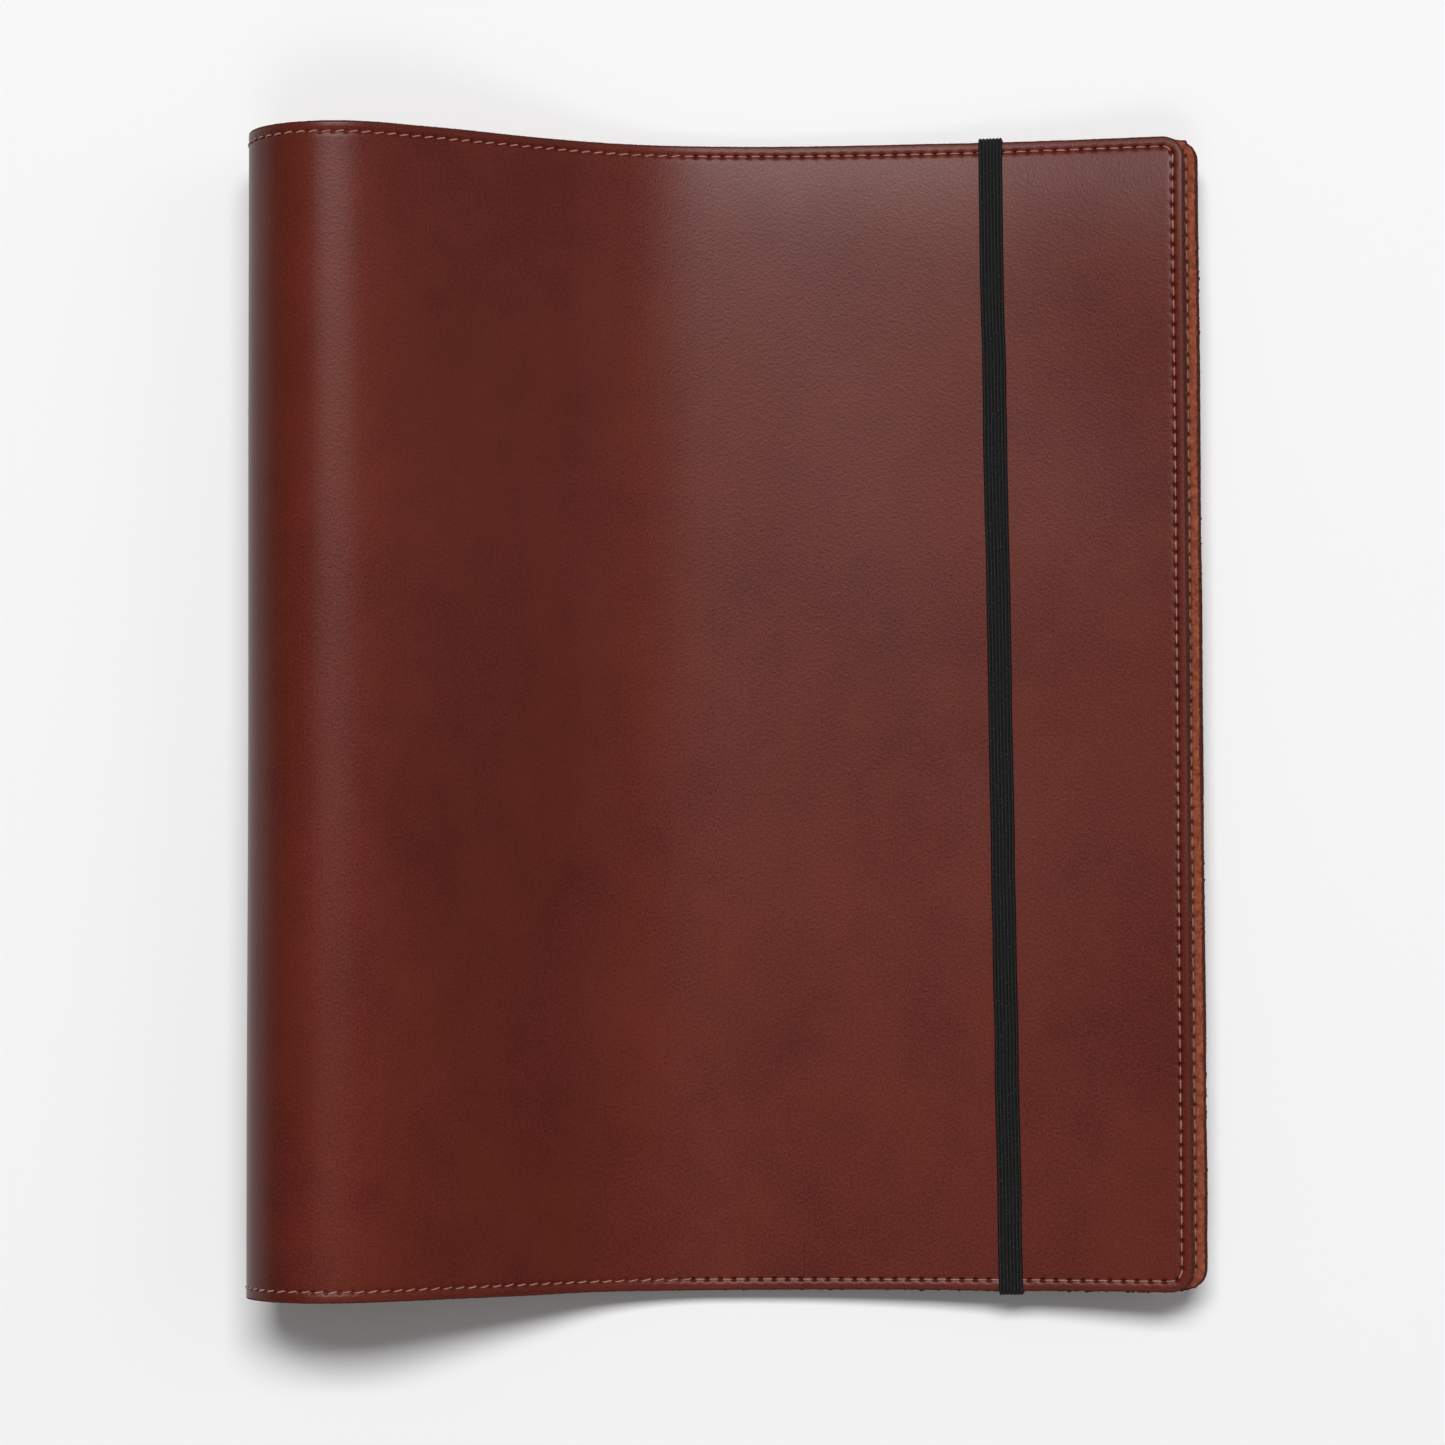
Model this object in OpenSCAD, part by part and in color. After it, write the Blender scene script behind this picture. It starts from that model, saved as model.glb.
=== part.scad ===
// Leather notebook cover for A4 paper, lying closed on its back panel.
// X runs from the spine to the fore edge, Y up the page, Z up from the table.
// The leather follows one line of arcs and straights in the XZ plane. A depth of 0 on
// that line is the grain side, and depth grows towards the inside of the cover.

/* [Cover] */
// Height of the cover along the page
cover_h = 310; // [290:1:330]
// Width of the closed cover, from the spine to the back panel's fore edge
closed_w = 256; // [246:1:266]
// How far the front panel's fore edge stops short of the back panel's
front_setback = 5.2; // [3:0.1:8]
// Radius of the four corners at the fore edges
corner_r = 6; // [4:0.5:10]

/* [Leather] */
// Thickness of the outer shell
shell_t = 1.8; // [1.5:0.1:2]
// Thickness of the inner pockets
pocket_t = 1.3; // [1.1:0.1:1.4]
// Width of the inner pockets, from the mouth to the fore edge
pocket_w = 134; // [110:1:135]
// Air between a pocket and the shell
pocket_gap = 0.2; // [0.1:0.05:0.25]

/* [Closed shape] */
// Outer radius of the rolled spine
spine_r = 23.5; // [22:0.5:25]
// Radius where the front leaves the top of the spine
shoulder_r = 30; // [26:1:34]
// Steepness of the slope between the spine and the front panel, in degrees
slope_a = 29; // [27:1:31]
// Radius of the hollow where the slope meets the front panel
valley_r = 80; // [70:1:90]
// Height of the front panel's lowest line above the table
valley_z = 7; // [7:0.1:7.6]
// Radius of the front panel's upward sweep to the fore edge
front_sweep_r = 550; // [520:10:700]
// Radius of the back panel's upward sweep to the fore edge
back_sweep_r = 380; // [360:10:420]
// Place along X where the back panel starts to sweep up
back_sweep_x = 30; // [25:1:40]
// Air between two neighbouring stretches of the shell
split_gap = 0.3; // [0.2:0.05:0.4]

/* [Stitching] */
// Distance from an edge to the middle of the stitch line
seam_inset = 2.9; // [2.5:0.1:4]
// Width of the groove that the thread lies in
groove_w = 1; // [0.8:0.1:1.2]
// Depth of the groove
groove_d = 0.4; // [0.3:0.05:0.45]
// Width of the thread
thread_w = 0.7; // [0.5:0.1:0.8]
// Height of the thread
thread_t = 0.3; // [0.2:0.05:0.3]

/* [Elastic] */
// Width of the elastic band
band_w = 6.4; // [5:0.1:8]
// Thickness of the elastic band
band_t = 0.9; // [0.7:0.1:1]
// Place of the band along X
band_x = 73.4; // [60:0.1:80]
// Lean of the band away from the page's edge, in degrees
band_lean = 0.68; // [0:0.01:1]
// Length of each end of the band that is caught between shell and pocket
band_tuck = 8; // [6:0.5:10]
// Thickness of those ends, pressed flat by the seam
tuck_t = 0.6; // [0.5:0.05:0.65]

/* [Hidden] */

grain = [0.37, 0.17, 0.14];
flesh = [0.48, 0.24, 0.17];
thread_tone = [0.62, 0.38, 0.31];
elastic_tone = [0.11, 0.11, 0.11];

arc_step = 4.5;
split_low = 245;
split_mid = 187;
split_high = 129;
stack_t = shell_t + pocket_gap + pocket_t;
back_edge_x = closed_w / 2;
front_edge_x = back_edge_x - front_setback;
spine_x = spine_r - back_edge_x;
slope_len = (2 * spine_r - valley_z - (shoulder_r + valley_r) * (1 - cos(slope_a))) / sin(slope_a);
valley_x = spine_x + (shoulder_r + valley_r) * sin(slope_a) + slope_len * cos(slope_a);
front_reach = front_edge_x - valley_x;
back_reach = back_edge_x - back_sweep_x;
sweep_over = 2;
thread_air = groove_d - thread_t;

spine_c = [spine_x, spine_r];
shoulder_c = [spine_x, 2 * spine_r - shoulder_r];
hollow_c = [valley_x, valley_z + valley_r];
front_c = [valley_x, valley_z + front_sweep_r];
back_c = [back_sweep_x, back_sweep_r];

// Angle that an arc of radius r turns over half of the gap between two stretches.
function gap_a(r) = split_gap / 2 / r * 180 / PI;

// Points on an arc about c, from angle a to angle b.
function arc(c, r, a, b) = let (n = max(2, ceil(abs(b - a) / arc_step)))
    [for (i = [0:n]) let (t = a + (b - a) * i / n) [c[0] + r * cos(t), c[1] + r * sin(t)]];

// Points of a wide, shallow sweep, evenly spaced.
function sweep(c, r, a, b) = [for (i = [0:10]) let (t = a + (b - a) * i / 10)
    [c[0] + r * cos(t), c[1] + r * sin(t)]];

// The line at depth d on each stretch of the shell, from the back's fore edge round to the front's.
function back_line(d) = concat(
    sweep(back_c, back_sweep_r - d, -90 + asin((back_reach + sweep_over) / back_sweep_r), -90),
    arc(spine_c, spine_r - d, 270, split_low + gap_a(spine_r)));
function spine_line(d, a, b) = arc(spine_c, spine_r - d, a - gap_a(spine_r), b + gap_a(spine_r));
function high_line(d) = concat(
    arc(spine_c, spine_r - d, split_high - gap_a(spine_r), 90),
    arc(shoulder_c, shoulder_r - d, 90, 90 - slope_a / 2 + gap_a(shoulder_r)));
function slope_line(d) = concat(
    arc(shoulder_c, shoulder_r - d, 90 - slope_a / 2 - gap_a(shoulder_r), 90 - slope_a),
    arc(hollow_c, valley_r + d, 270 - slope_a, 270 - slope_a / 2 - gap_a(valley_r)));
function front_line(d) = concat(
    arc(hollow_c, valley_r + d, 270 - slope_a / 2 + gap_a(valley_r), 270),
    sweep(front_c, front_sweep_r + d, 270, 270 + asin((front_reach + sweep_over) / front_sweep_r)));

function reversed(p) = [for (i = [len(p) - 1:-1:0]) p[i]];

// A strip between two lines of the same stretch, from y0 to y1.
module strip(upper, lower, y0, y1)
    translate([0, y1, 0])
        rotate([90, 0, 0])
            linear_extrude(y1 - y0)
                polygon(concat(upper, reversed(lower)));

// A strip over the cover's whole height.
module whole(upper, lower) strip(upper, lower, -cover_h / 2, cover_h / 2);

// The plan of a panel whose fore edge is at x, pulled in on three sides by inset.
module panel_plan(x, inset) {
    r = corner_r - inset;
    far = x - inset;
    top = cover_h / 2 - inset;
    polygon(concat(
        [[-closed_w / 2 - 1, -top]],
        arc([far - r, r - top], r, -90, 0),
        arc([far - r, top - r], r, 0, 90),
        [[-closed_w / 2 - 1, top]]));
}

// A block over the part of a panel's plan that lies within inset of its edges.
module plan_block(x, inset)
    translate([0, 0, -1])
        linear_extrude(2 * spine_r + 2)
            panel_plan(x, inset);

// A band of the plan, w wide, along the stitch line.
module seam_block(x, w)
    difference() {
        plan_block(x, seam_inset - w / 2);
        plan_block(x, seam_inset + w / 2);
    }

// Two straight bands, w wide, along the stitch line at the head and the tail.
module seam_runs(upper, lower, w)
    for (side = [-1, 1]) {
        middle = side * (cover_h / 2 - seam_inset);
        strip(upper, lower, middle - w / 2, middle + w / 2);
    }

// A stretch of shell away from the panels, with a groove on each side for the thread.
module shell_stretch(upper, lower, grain_cut, flesh_cut)
    color(grain)
        difference() {
            whole(upper, lower);
            seam_runs(upper, grain_cut, groove_w);
            seam_runs(flesh_cut, lower, groove_w);
        }

// The thread of such a stretch, at the bottom of both grooves.
module thread_stretch(grain_top, grain_floor, flesh_floor, flesh_top)
    color(thread_tone) {
        seam_runs(grain_top, grain_floor, thread_w);
        seam_runs(flesh_floor, flesh_top, thread_w);
    }

module shell_back()
    color(grain)
        difference() {
            intersection() {
                whole(back_line(0), back_line(shell_t));
                plan_block(back_edge_x, 0);
            }
            intersection() {
                whole(back_line(-1), back_line(groove_d));
                seam_block(back_edge_x, groove_w);
            }
            seam_runs(back_line(shell_t - groove_d), back_line(shell_t), groove_w);
        }

module thread_back()
    color(thread_tone) {
        intersection() {
            whole(back_line(thread_air), back_line(groove_d));
            seam_block(back_edge_x, thread_w);
        }
        intersection() {
            whole(back_line(stack_t - groove_d), back_line(stack_t - thread_air));
            seam_block(back_edge_x, thread_w);
            pocket_zone(back_edge_x);
        }
        difference() {
            seam_runs(back_line(shell_t - groove_d), back_line(shell_t - thread_air), thread_w);
            pocket_zone(back_edge_x);
        }
    }

module shell_front()
    color(grain)
        difference() {
            intersection() {
                whole(front_line(0), front_line(shell_t));
                plan_block(front_edge_x, 0);
            }
            intersection() {
                whole(front_line(-1), front_line(groove_d));
                seam_block(front_edge_x, groove_w);
            }
            seam_runs(front_line(shell_t - groove_d), front_line(shell_t), groove_w);
        }

module thread_front()
    color(thread_tone) {
        intersection() {
            whole(front_line(thread_air), front_line(groove_d));
            seam_block(front_edge_x, thread_w);
        }
        intersection() {
            whole(front_line(stack_t - groove_d), front_line(stack_t - thread_air));
            seam_block(front_edge_x, thread_w);
            pocket_zone(front_edge_x);
        }
        difference() {
            seam_runs(front_line(shell_t - groove_d), front_line(shell_t - thread_air), thread_w);
            pocket_zone(front_edge_x);
        }
    }

// The space over a pocket, from its mouth past its fore edge.
module pocket_zone(edge_x)
    translate([edge_x - pocket_w, -cover_h, -1])
        cube([2 * pocket_w, 2 * cover_h, 2 * spine_r]);

module pocket_back()
    color(flesh)
        difference() {
            intersection() {
                whole(back_line(shell_t + pocket_gap), back_line(stack_t));
                plan_block(back_edge_x, 0);
                pocket_zone(back_edge_x);
            }
            intersection() {
                whole(back_line(stack_t - groove_d), back_line(stack_t + 1));
                seam_block(back_edge_x, groove_w);
            }
            band_recess();
        }

module pocket_front()
    color(flesh)
        difference() {
            intersection() {
                whole(front_line(shell_t + pocket_gap), front_line(stack_t));
                plan_block(front_edge_x, 0);
                pocket_zone(front_edge_x);
            }
            intersection() {
                whole(front_line(stack_t - groove_d), front_line(stack_t + 1));
                seam_block(front_edge_x, groove_w);
            }
        }

module shell_spine_low() spine_shell(split_low, split_mid);
module shell_spine_mid() spine_shell(split_mid, split_high);
module thread_spine_low() spine_thread(split_low, split_mid);
module thread_spine_mid() spine_thread(split_mid, split_high);

module spine_shell(a, b)
    shell_stretch(spine_line(0, a, b), spine_line(shell_t, a, b),
        spine_line(groove_d, a, b), spine_line(shell_t - groove_d, a, b));

module spine_thread(a, b)
    thread_stretch(spine_line(thread_air, a, b), spine_line(groove_d, a, b),
        spine_line(shell_t - groove_d, a, b), spine_line(shell_t - thread_air, a, b));

module shell_spine_high()
    shell_stretch(high_line(0), high_line(shell_t), high_line(groove_d), high_line(shell_t - groove_d));

module thread_spine_high()
    thread_stretch(high_line(thread_air), high_line(groove_d),
        high_line(shell_t - groove_d), high_line(shell_t - thread_air));

module shell_slope()
    shell_stretch(slope_line(0), slope_line(shell_t), slope_line(groove_d), slope_line(shell_t - groove_d));

module thread_slope()
    thread_stretch(slope_line(thread_air), slope_line(groove_d),
        slope_line(shell_t - groove_d), slope_line(shell_t - thread_air));

// The band's own frame: its origin lies on the front panel under the band's middle, and Z stands
// square to the leather there.
band_slope = asin((band_x - valley_x) / front_sweep_r);
band_z = valley_z + front_sweep_r * (1 - cos(band_slope));
back_a = asin((band_x - back_sweep_x) / back_sweep_r);
tuck_floor = back_sweep_r * (1 - cos(back_a)) + shell_t / cos(back_a);
band_air = 0.1;
tuck_air = 0.2;
side_air = 0.3;
bend_r = 0.4;
tuck_z = (tuck_floor - band_z) * cos(band_slope) + tuck_air;
tuck_y = cover_h / 2 - band_tuck;
wall_y = cover_h / 2 + side_air;
span_z = 2 * band_air;

module band_frame()
    translate([band_x, 0, band_z])
        rotate([0, -band_slope, 0])
            rotate([0, 0, band_lean])
                children();

// One side of the band's loop from the tucked end to the middle of the span, on its inner face
// (grow = 0) or its outer face (grow = band_t). The tucked end is pressed flat to tuck_t.
function band_side(grow) = let (floor_z = tuck_z + (grow == 0 ? tuck_t : 0)) concat(
    [[tuck_y, floor_z]],
    arc([wall_y - bend_r, floor_z + bend_r + grow], bend_r + grow, -90, 0),
    arc([wall_y - bend_r, span_z - bend_r], bend_r + grow, 0, 90));

function flipped(p) = [for (q = reversed(p)) [-q[0], q[1]]];
function band_face(grow) = concat(band_side(grow), flipped(band_side(grow)));

module elastic_band()
    color(elastic_tone)
        band_frame()
            rotate([90, 0, 90])
                linear_extrude(band_w, center = true)
                    polygon(concat(band_face(band_t), reversed(band_face(0))));

// Room in the back pocket for the two tucked ends.
module band_recess()
    band_frame()
        for (side = [0, 180])
            rotate([0, 0, side])
                translate([-band_w / 2 - side_air, tuck_y - 1, tuck_z - 1.5 * tuck_air])
                    cube([band_w + 2 * side_air, band_tuck + 10, tuck_t + 2 * tuck_air]);

shell_back();
shell_spine_low();
shell_spine_mid();
shell_spine_high();
shell_slope();
shell_front();
pocket_back();
pocket_front();
thread_back();
thread_spine_low();
thread_spine_mid();
thread_spine_high();
thread_slope();
thread_front();
elastic_band();
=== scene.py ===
import math
import bpy
import numpy as np
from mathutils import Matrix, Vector


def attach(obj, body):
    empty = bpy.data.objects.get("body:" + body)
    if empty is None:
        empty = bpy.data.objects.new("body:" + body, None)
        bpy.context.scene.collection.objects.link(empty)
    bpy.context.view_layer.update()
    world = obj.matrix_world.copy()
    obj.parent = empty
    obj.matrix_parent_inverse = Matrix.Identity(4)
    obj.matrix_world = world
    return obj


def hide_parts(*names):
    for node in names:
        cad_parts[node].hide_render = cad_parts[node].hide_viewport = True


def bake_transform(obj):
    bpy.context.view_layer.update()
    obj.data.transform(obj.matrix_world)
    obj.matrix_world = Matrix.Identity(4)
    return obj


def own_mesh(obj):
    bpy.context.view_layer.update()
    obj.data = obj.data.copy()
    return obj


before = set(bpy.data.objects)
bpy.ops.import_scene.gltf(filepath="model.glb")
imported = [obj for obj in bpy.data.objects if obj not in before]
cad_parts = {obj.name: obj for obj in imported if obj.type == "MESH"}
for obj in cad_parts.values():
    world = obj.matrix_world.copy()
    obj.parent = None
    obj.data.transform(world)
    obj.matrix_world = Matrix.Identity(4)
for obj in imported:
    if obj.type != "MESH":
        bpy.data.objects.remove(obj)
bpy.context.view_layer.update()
print("stage: frame loaded")

# Everything is worked out in millimetres and scaled as the meshes are made.
mm = 0.001

cover = {
    "height": 310.0, "width": 256.0, "setback": 5.2, "corner": 6.0,
    "shell": 1.8, "pocket": 1.3, "gap": 0.2, "pocketWidth": 134.0,
    "spineRadius": 23.5, "shoulderRadius": 30.0, "slopeAngle": math.radians(29),
    "valleyRadius": 80.0, "valleyHeight": 7.0, "frontSweep": 550.0,
    "backSweep": 380.0, "backSweepStart": 30.0, "easing": 7.0,
    "seamInset": 2.9, "pitch": 3.6,
}

# the line that the leather follows

halfY = cover["height"] / 2
backEdge = cover["width"] / 2
frontEdge = backEdge - cover["setback"]
spineX = cover["spineRadius"] - backEdge
tilt = cover["slopeAngle"]
slopeLength = (2 * cover["spineRadius"] - cover["valleyHeight"]
               - (cover["shoulderRadius"] + cover["valleyRadius"]) * (1 - math.cos(tilt))) / math.sin(tilt)
valleyX = (spineX + (cover["shoulderRadius"] + cover["valleyRadius"]) * math.sin(tilt)
           + slopeLength * math.cos(tilt))
sweepBack = math.asin((backEdge - cover["backSweepStart"]) / cover["backSweep"])
sweepFront = math.asin((frontEdge - valleyX) / cover["frontSweep"])

# Each stretch of the line as its length and its curvature, from the back's fore edge.
stretches = np.array([
    (cover["backSweep"] * sweepBack, -1 / cover["backSweep"]),
    (cover["backSweepStart"] - spineX, 0.0),
    (math.pi * cover["spineRadius"], -1 / cover["spineRadius"]),
    (cover["shoulderRadius"] * tilt, -1 / cover["shoulderRadius"]),
    (slopeLength, 0.0),
    (cover["valleyRadius"] * tilt, 1 / cover["valleyRadius"]),
    (cover["frontSweep"] * sweepFront, 1 / cover["frontSweep"]),
])
marks = np.concatenate([[0], np.cumsum(stretches[:, 0])])
lineEnd = float(marks[-1])
spineStart = float(marks[2])


# The heading is the running sum of the curvature, eased where it changes, and the place is the
# running sum of the heading's cosine and sine.
def buildLine():
    step = 0.05
    s = np.arange(-20, lineEnd + 20, step)
    k = stretches[np.clip(np.searchsorted(marks, s, side="right") - 1, 0, len(stretches) - 1), 1]
    wide = int(cover["easing"] / step) | 1
    window = np.hanning(wide + 2)[1:-1]
    k = np.convolve(np.pad(k, wide // 2, mode="edge"), window / window.sum(), mode="valid")
    anchor = int(np.argmin(abs(s - (marks[1] + 60))))
    heading = np.cumsum(k) * step
    heading += math.pi - heading[anchor]
    x = np.cumsum(np.cos(heading)) * step
    z = np.cumsum(np.sin(heading)) * step
    x += cover["backSweepStart"] - 60 - x[anchor]
    z -= z[anchor]
    return s, x, z, heading


lineS, lineX, lineZ, lineHeading = buildLine()


# Each ripple is its height, its lengths along and across, and its phase. The swell is one long wave.
# The flute is the wave of the front's fore edge, and the droop is at the front's head.
relief = {
    "ripples": [(0.20, 31, 74, 0.6), (0.16, 19, -43, 2.1), (0.05, 9, 23, 0.0)],
    "swell": 0.22, "swellAlong": 60, "swellAcross": 57, "swellPhase": 0.9, "freeFrom": 15, "freeOver": 45,
    "flute": 0.27, "fluteLength": 96, "fluteFrom": 54, "fluteReach": 75, "fluteOver": 60, "fluteLeast": 0.6,
    "droop": 1.7, "droopReach": 12.0, "droopFrom": 10, "droopOver": 50,
}


# A gentle rise and fall of the free leather: a sum of long sines, none on the back panel, less an
# exponential droop towards the head edge.
def wave(s, y):
    look = relief
    free = np.clip((s - spineStart - look["freeFrom"]) / look["freeOver"], 0, 1)
    free = free * free * (3 - 2 * free)
    across = np.sin(y / look["swellAcross"] + look["swellPhase"])
    rise = look["swell"] * across * np.cos(s / look["swellAlong"])
    for high, lengthS, lengthY, phase in look["ripples"]:
        rise = rise + high * np.sin(s / lengthS + y / lengthY + phase)
    edgeward = (np.clip((s - lineEnd + look["fluteReach"]) / look["fluteOver"], 0, 1)
                * (look["fluteLeast"] + y / cover["height"]))
    turns = (y - look["fluteFrom"]) / look["fluteLength"]
    rise = rise - look["flute"] * edgeward * np.sin(turns * 2 * math.pi)
    share = np.clip((s - marks[5] - look["droopFrom"]) / look["droopOver"], 0, 1)
    droop = look["droop"] * np.exp(-(halfY - y) / look["droopReach"]) * share
    return free * rise - droop


# A point of the flat pattern on the bent leather: along the line by s, then inwards by depth.
def place(s, y, depth):
    x = np.interp(s, lineS, lineX)
    z = np.interp(s, lineS, lineZ)
    h = np.interp(s, lineS, lineHeading)
    d = depth - wave(s, y)
    return np.stack([x + np.sin(h) * d, y + 0 * s, z - np.cos(h) * d], axis=-1)


# The place along the line at an angle of the spine's circle, 270 at the table and 90 on top.
def spineAt(degrees):
    return spineStart + cover["spineRadius"] * math.radians(270 - degrees)


# The pockets' inner edges, as places along the line.
inFront = lineS > marks[5]
frontMouth = float(np.interp(frontEdge - cover["pocketWidth"], lineX[inFront], lineS[inFront]))
backMouth = float(marks[1] + cover["backSweepStart"] - (backEdge - cover["pocketWidth"]))

# the seam: one closed loop of stitches round the whole pattern

seamIn = cover["seamInset"]
turnR = cover["corner"] - seamIn
turnLength = turnR * math.pi / 2
runS = lineEnd - 2 * cover["corner"]
runY = cover["height"] - 2 * cover["corner"]
seamLengths = np.array([runS, turnLength, runY, turnLength, runS, turnLength, runY, turnLength])
seamStarts = np.concatenate([[0], np.cumsum(seamLengths)])
seamTotal = float(seamStarts[-1])
stitchCount = int(round(seamTotal / cover["pitch"]))
pitch = seamTotal / stitchCount
innerS, innerY = cover["corner"], halfY - cover["corner"]
# For each side of the loop: a corner or not, its start or centre, and its heading or first angle.
seamTurns = np.array([0, 1, 0, 1, 0, 1, 0, 1], bool)
seamFrom = np.array([
    (innerS, halfY - seamIn), (lineEnd - innerS, innerY), (lineEnd - seamIn, innerY),
    (lineEnd - innerS, -innerY), (lineEnd - innerS, -halfY + seamIn), (innerS, -innerY),
    (seamIn, -innerY), (innerS, innerY)])
seamAngle = np.radians([0, 90, -90, 0, 180, -90, 90, 180])


# Place and heading on the seam loop: along a straight side, or round a corner's arc.
def seamPoint(a):
    a = np.mod(a, seamTotal)
    k = np.clip(np.searchsorted(seamStarts, a, side="right") - 1, 0, 7)
    t = a - seamStarts[k]
    turn = seamTurns[k]
    angle = seamAngle[k] - np.where(turn, t / turnR, 0)
    s = seamFrom[k, 0] + np.where(turn, turnR * np.cos(angle), np.cos(seamAngle[k]) * t)
    y = seamFrom[k, 1] + np.where(turn, turnR * np.sin(angle), np.sin(seamAngle[k]) * t)
    heading = np.where(turn, angle - math.pi / 2, seamAngle[k])
    return s, y, heading


# 1 where a pocket lies under the shell, 0 where the shell is alone.
def layered(s):
    return np.where((s > frontMouth) | (s < backMouth), 1.0, 0.0)


# Random values a size apart, joined by cosine ramps.
def smoothNoise(at, size, seed):
    values = np.random.default_rng(seed).uniform(-1, 1, 4096)
    k = np.floor(at / size).astype(int)
    f = at / size - k
    f = (1 - np.cos(f * math.pi)) / 2
    return values[k % 4096] * (1 - f) + values[(k + 1) % 4096] * f


# meshes

# points in millimetres; faces a list of index arrays with one row a face; slots and flats give
# each array's material and whether it is flat shaded.
def makeMesh(name, points, faces, slots, flats, extra=None, materials=()):
    pts = np.asarray(points, float) * mm
    volume = 0.0
    for f in faces:
        o = pts[f[:, 0]]
        for i in range(1, f.shape[1] - 1):
            volume += float(np.einsum("ij,ij->i", o, np.cross(pts[f[:, i]], pts[f[:, i + 1]])).sum())
    if volume < 0:
        faces = [f[:, ::-1] for f in faces]
    totals = np.concatenate([np.full(len(f), f.shape[1]) for f in faces])
    loops = np.concatenate([f.ravel() for f in faces])
    starts = np.concatenate([[0], np.cumsum(totals)[:-1]])
    mesh = bpy.data.meshes.new(name)
    mesh.vertices.add(len(pts))
    mesh.vertices.foreach_set("co", pts.astype(np.float32).ravel())
    mesh.loops.add(len(loops))
    mesh.loops.foreach_set("vertex_index", loops.astype(np.int32))
    mesh.polygons.add(len(totals))
    mesh.polygons.foreach_set("loop_start", starts.astype(np.int32))
    mesh.polygons.foreach_set("loop_total", totals.astype(np.int32))
    mesh.polygons.foreach_set("material_index", np.concatenate(
        [np.full(len(f), k) for f, k in zip(faces, slots)]).astype(np.int32))
    mesh.polygons.foreach_set("use_smooth", np.concatenate(
        [np.full(len(f), not k) for f, k in zip(faces, flats)]))
    for key, value in (extra or {}).items():
        if value.ndim == 2:
            layer = mesh.attributes.new(key, "FLOAT_VECTOR", "POINT")
            layer.data.foreach_set("vector", value.astype(np.float32).ravel())
        else:
            layer = mesh.attributes.new(key, "FLOAT", "POINT")
            layer.data.foreach_set("value", value.astype(np.float32).ravel())
    mesh.update(calc_edges=True)
    mesh.validate()
    obj = bpy.data.objects.new(name, mesh)
    bpy.context.scene.collection.objects.link(obj)
    for m in materials:
        mesh.materials.append(m)
    return obj


# Eight fine columns in each cell, and one in a thin cell. rank 0 marks a cell's ends, and 1, 2
# and 3 the columns that halve it again and again.
def splitCells(coarse):
    gaps = np.diff(coarse)
    parts = np.where(abs(gaps) < 0.2, 1, 8)
    cell = np.repeat(np.arange(len(gaps)), parts)
    inside = np.arange(parts.sum()) - np.repeat(np.cumsum(parts) - parts, parts)
    at = coarse[cell] + gaps[cell] * inside / parts[cell]
    rank = np.select([inside == 0, inside % 4 == 0, inside % 2 == 0], [0, 1, 2], 3)
    own = np.where(inside == 0, cell, -1)
    return np.append(at, coarse[-1]), np.append(rank, 0), np.append(own, len(gaps))


# Path parts end to end, without the repeated column where two meet.
def joined(parts):
    keep = [tuple(v[(0 if k == 0 else 1):] for v in p) for k, p in enumerate(parts)]
    return [np.concatenate(v) for v in zip(*keep)]


# Columns of the rim as plan places on the edge, the direction inwards, the seam coordinate, the
# rank and the inner grid's own vertex. kind 1 is a front panel, -1 a back one, 0 a strip between.
def rimPaths(gridU, gridY, kind):
    nu, ny = len(gridU) - 1, len(gridY) - 1
    c = cover["corner"]
    node = np.arange((nu + 1) * (ny + 1)).reshape(nu + 1, ny + 1)
    u, rankU, ownU = splitCells(gridU)
    s = u if kind >= 0 else -u
    away = lineEnd - 2 * c
    tailBase = away + 2 * turnLength + runY + lineEnd - c

    def side(uu, yy, du, dy, a, rank, own):
        one = np.ones(len(uu))
        return uu, yy * one, du * one, dy * one, a, rank, own

    head = side(u, halfY, 0, -1, s - c, rankU, np.where(ownU >= 0, node[ownU, ny], -1))
    tail = side(u[::-1], -halfY, 0, 1, tailBase - s[::-1], rankU[::-1],
                np.where(ownU >= 0, node[ownU, 0], -1)[::-1])
    if kind == 0:
        return [joined([head]), joined([tail])], node
    y, rankY, ownY = splitCells(gridY[::-1])
    phi, rankC, ownC = splitCells(np.linspace(0, math.pi / 2, 4))
    sign = 1 if kind > 0 else -1
    base = away if kind > 0 else 0.0
    far = gridU[-1]
    turnA = side(far + c * np.sin(phi), innerY + c * np.cos(phi), -np.sin(phi), -np.cos(phi),
                 base + sign * turnR * phi, rankC, np.where(ownC >= 0, node[nu, ny], -1))
    fore = side(far + c + 0 * y, y, -1, 0, base + sign * (turnLength + innerY - y), rankY,
                np.where(ownY >= 0, node[nu, ::-1][ownY], -1))
    turnB = side(far + c * np.cos(phi), -innerY - c * np.sin(phi), -np.cos(phi), np.sin(phi),
                 base + sign * (turnLength + runY + turnR * phi), rankC, np.where(ownC >= 0, node[nu, 0], -1))
    return [joined([head, turnA, fore, turnB, tail])], node


# Rim rows on each face from the inner grid out to the edge, as inset and level of fineness.
rimRows = [(6.0, 0), (5.2, 1), (4.5, 2), (3.95, 3), (3.6, 3), (3.35, 3), (3.15, 3), (2.97, 3), (2.8, 3),
           (2.6, 3), (2.4, 3), (2.1, 3), (1.7, 3), (1.25, 3), (0.85, 3), (0.5, 3)]


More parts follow.
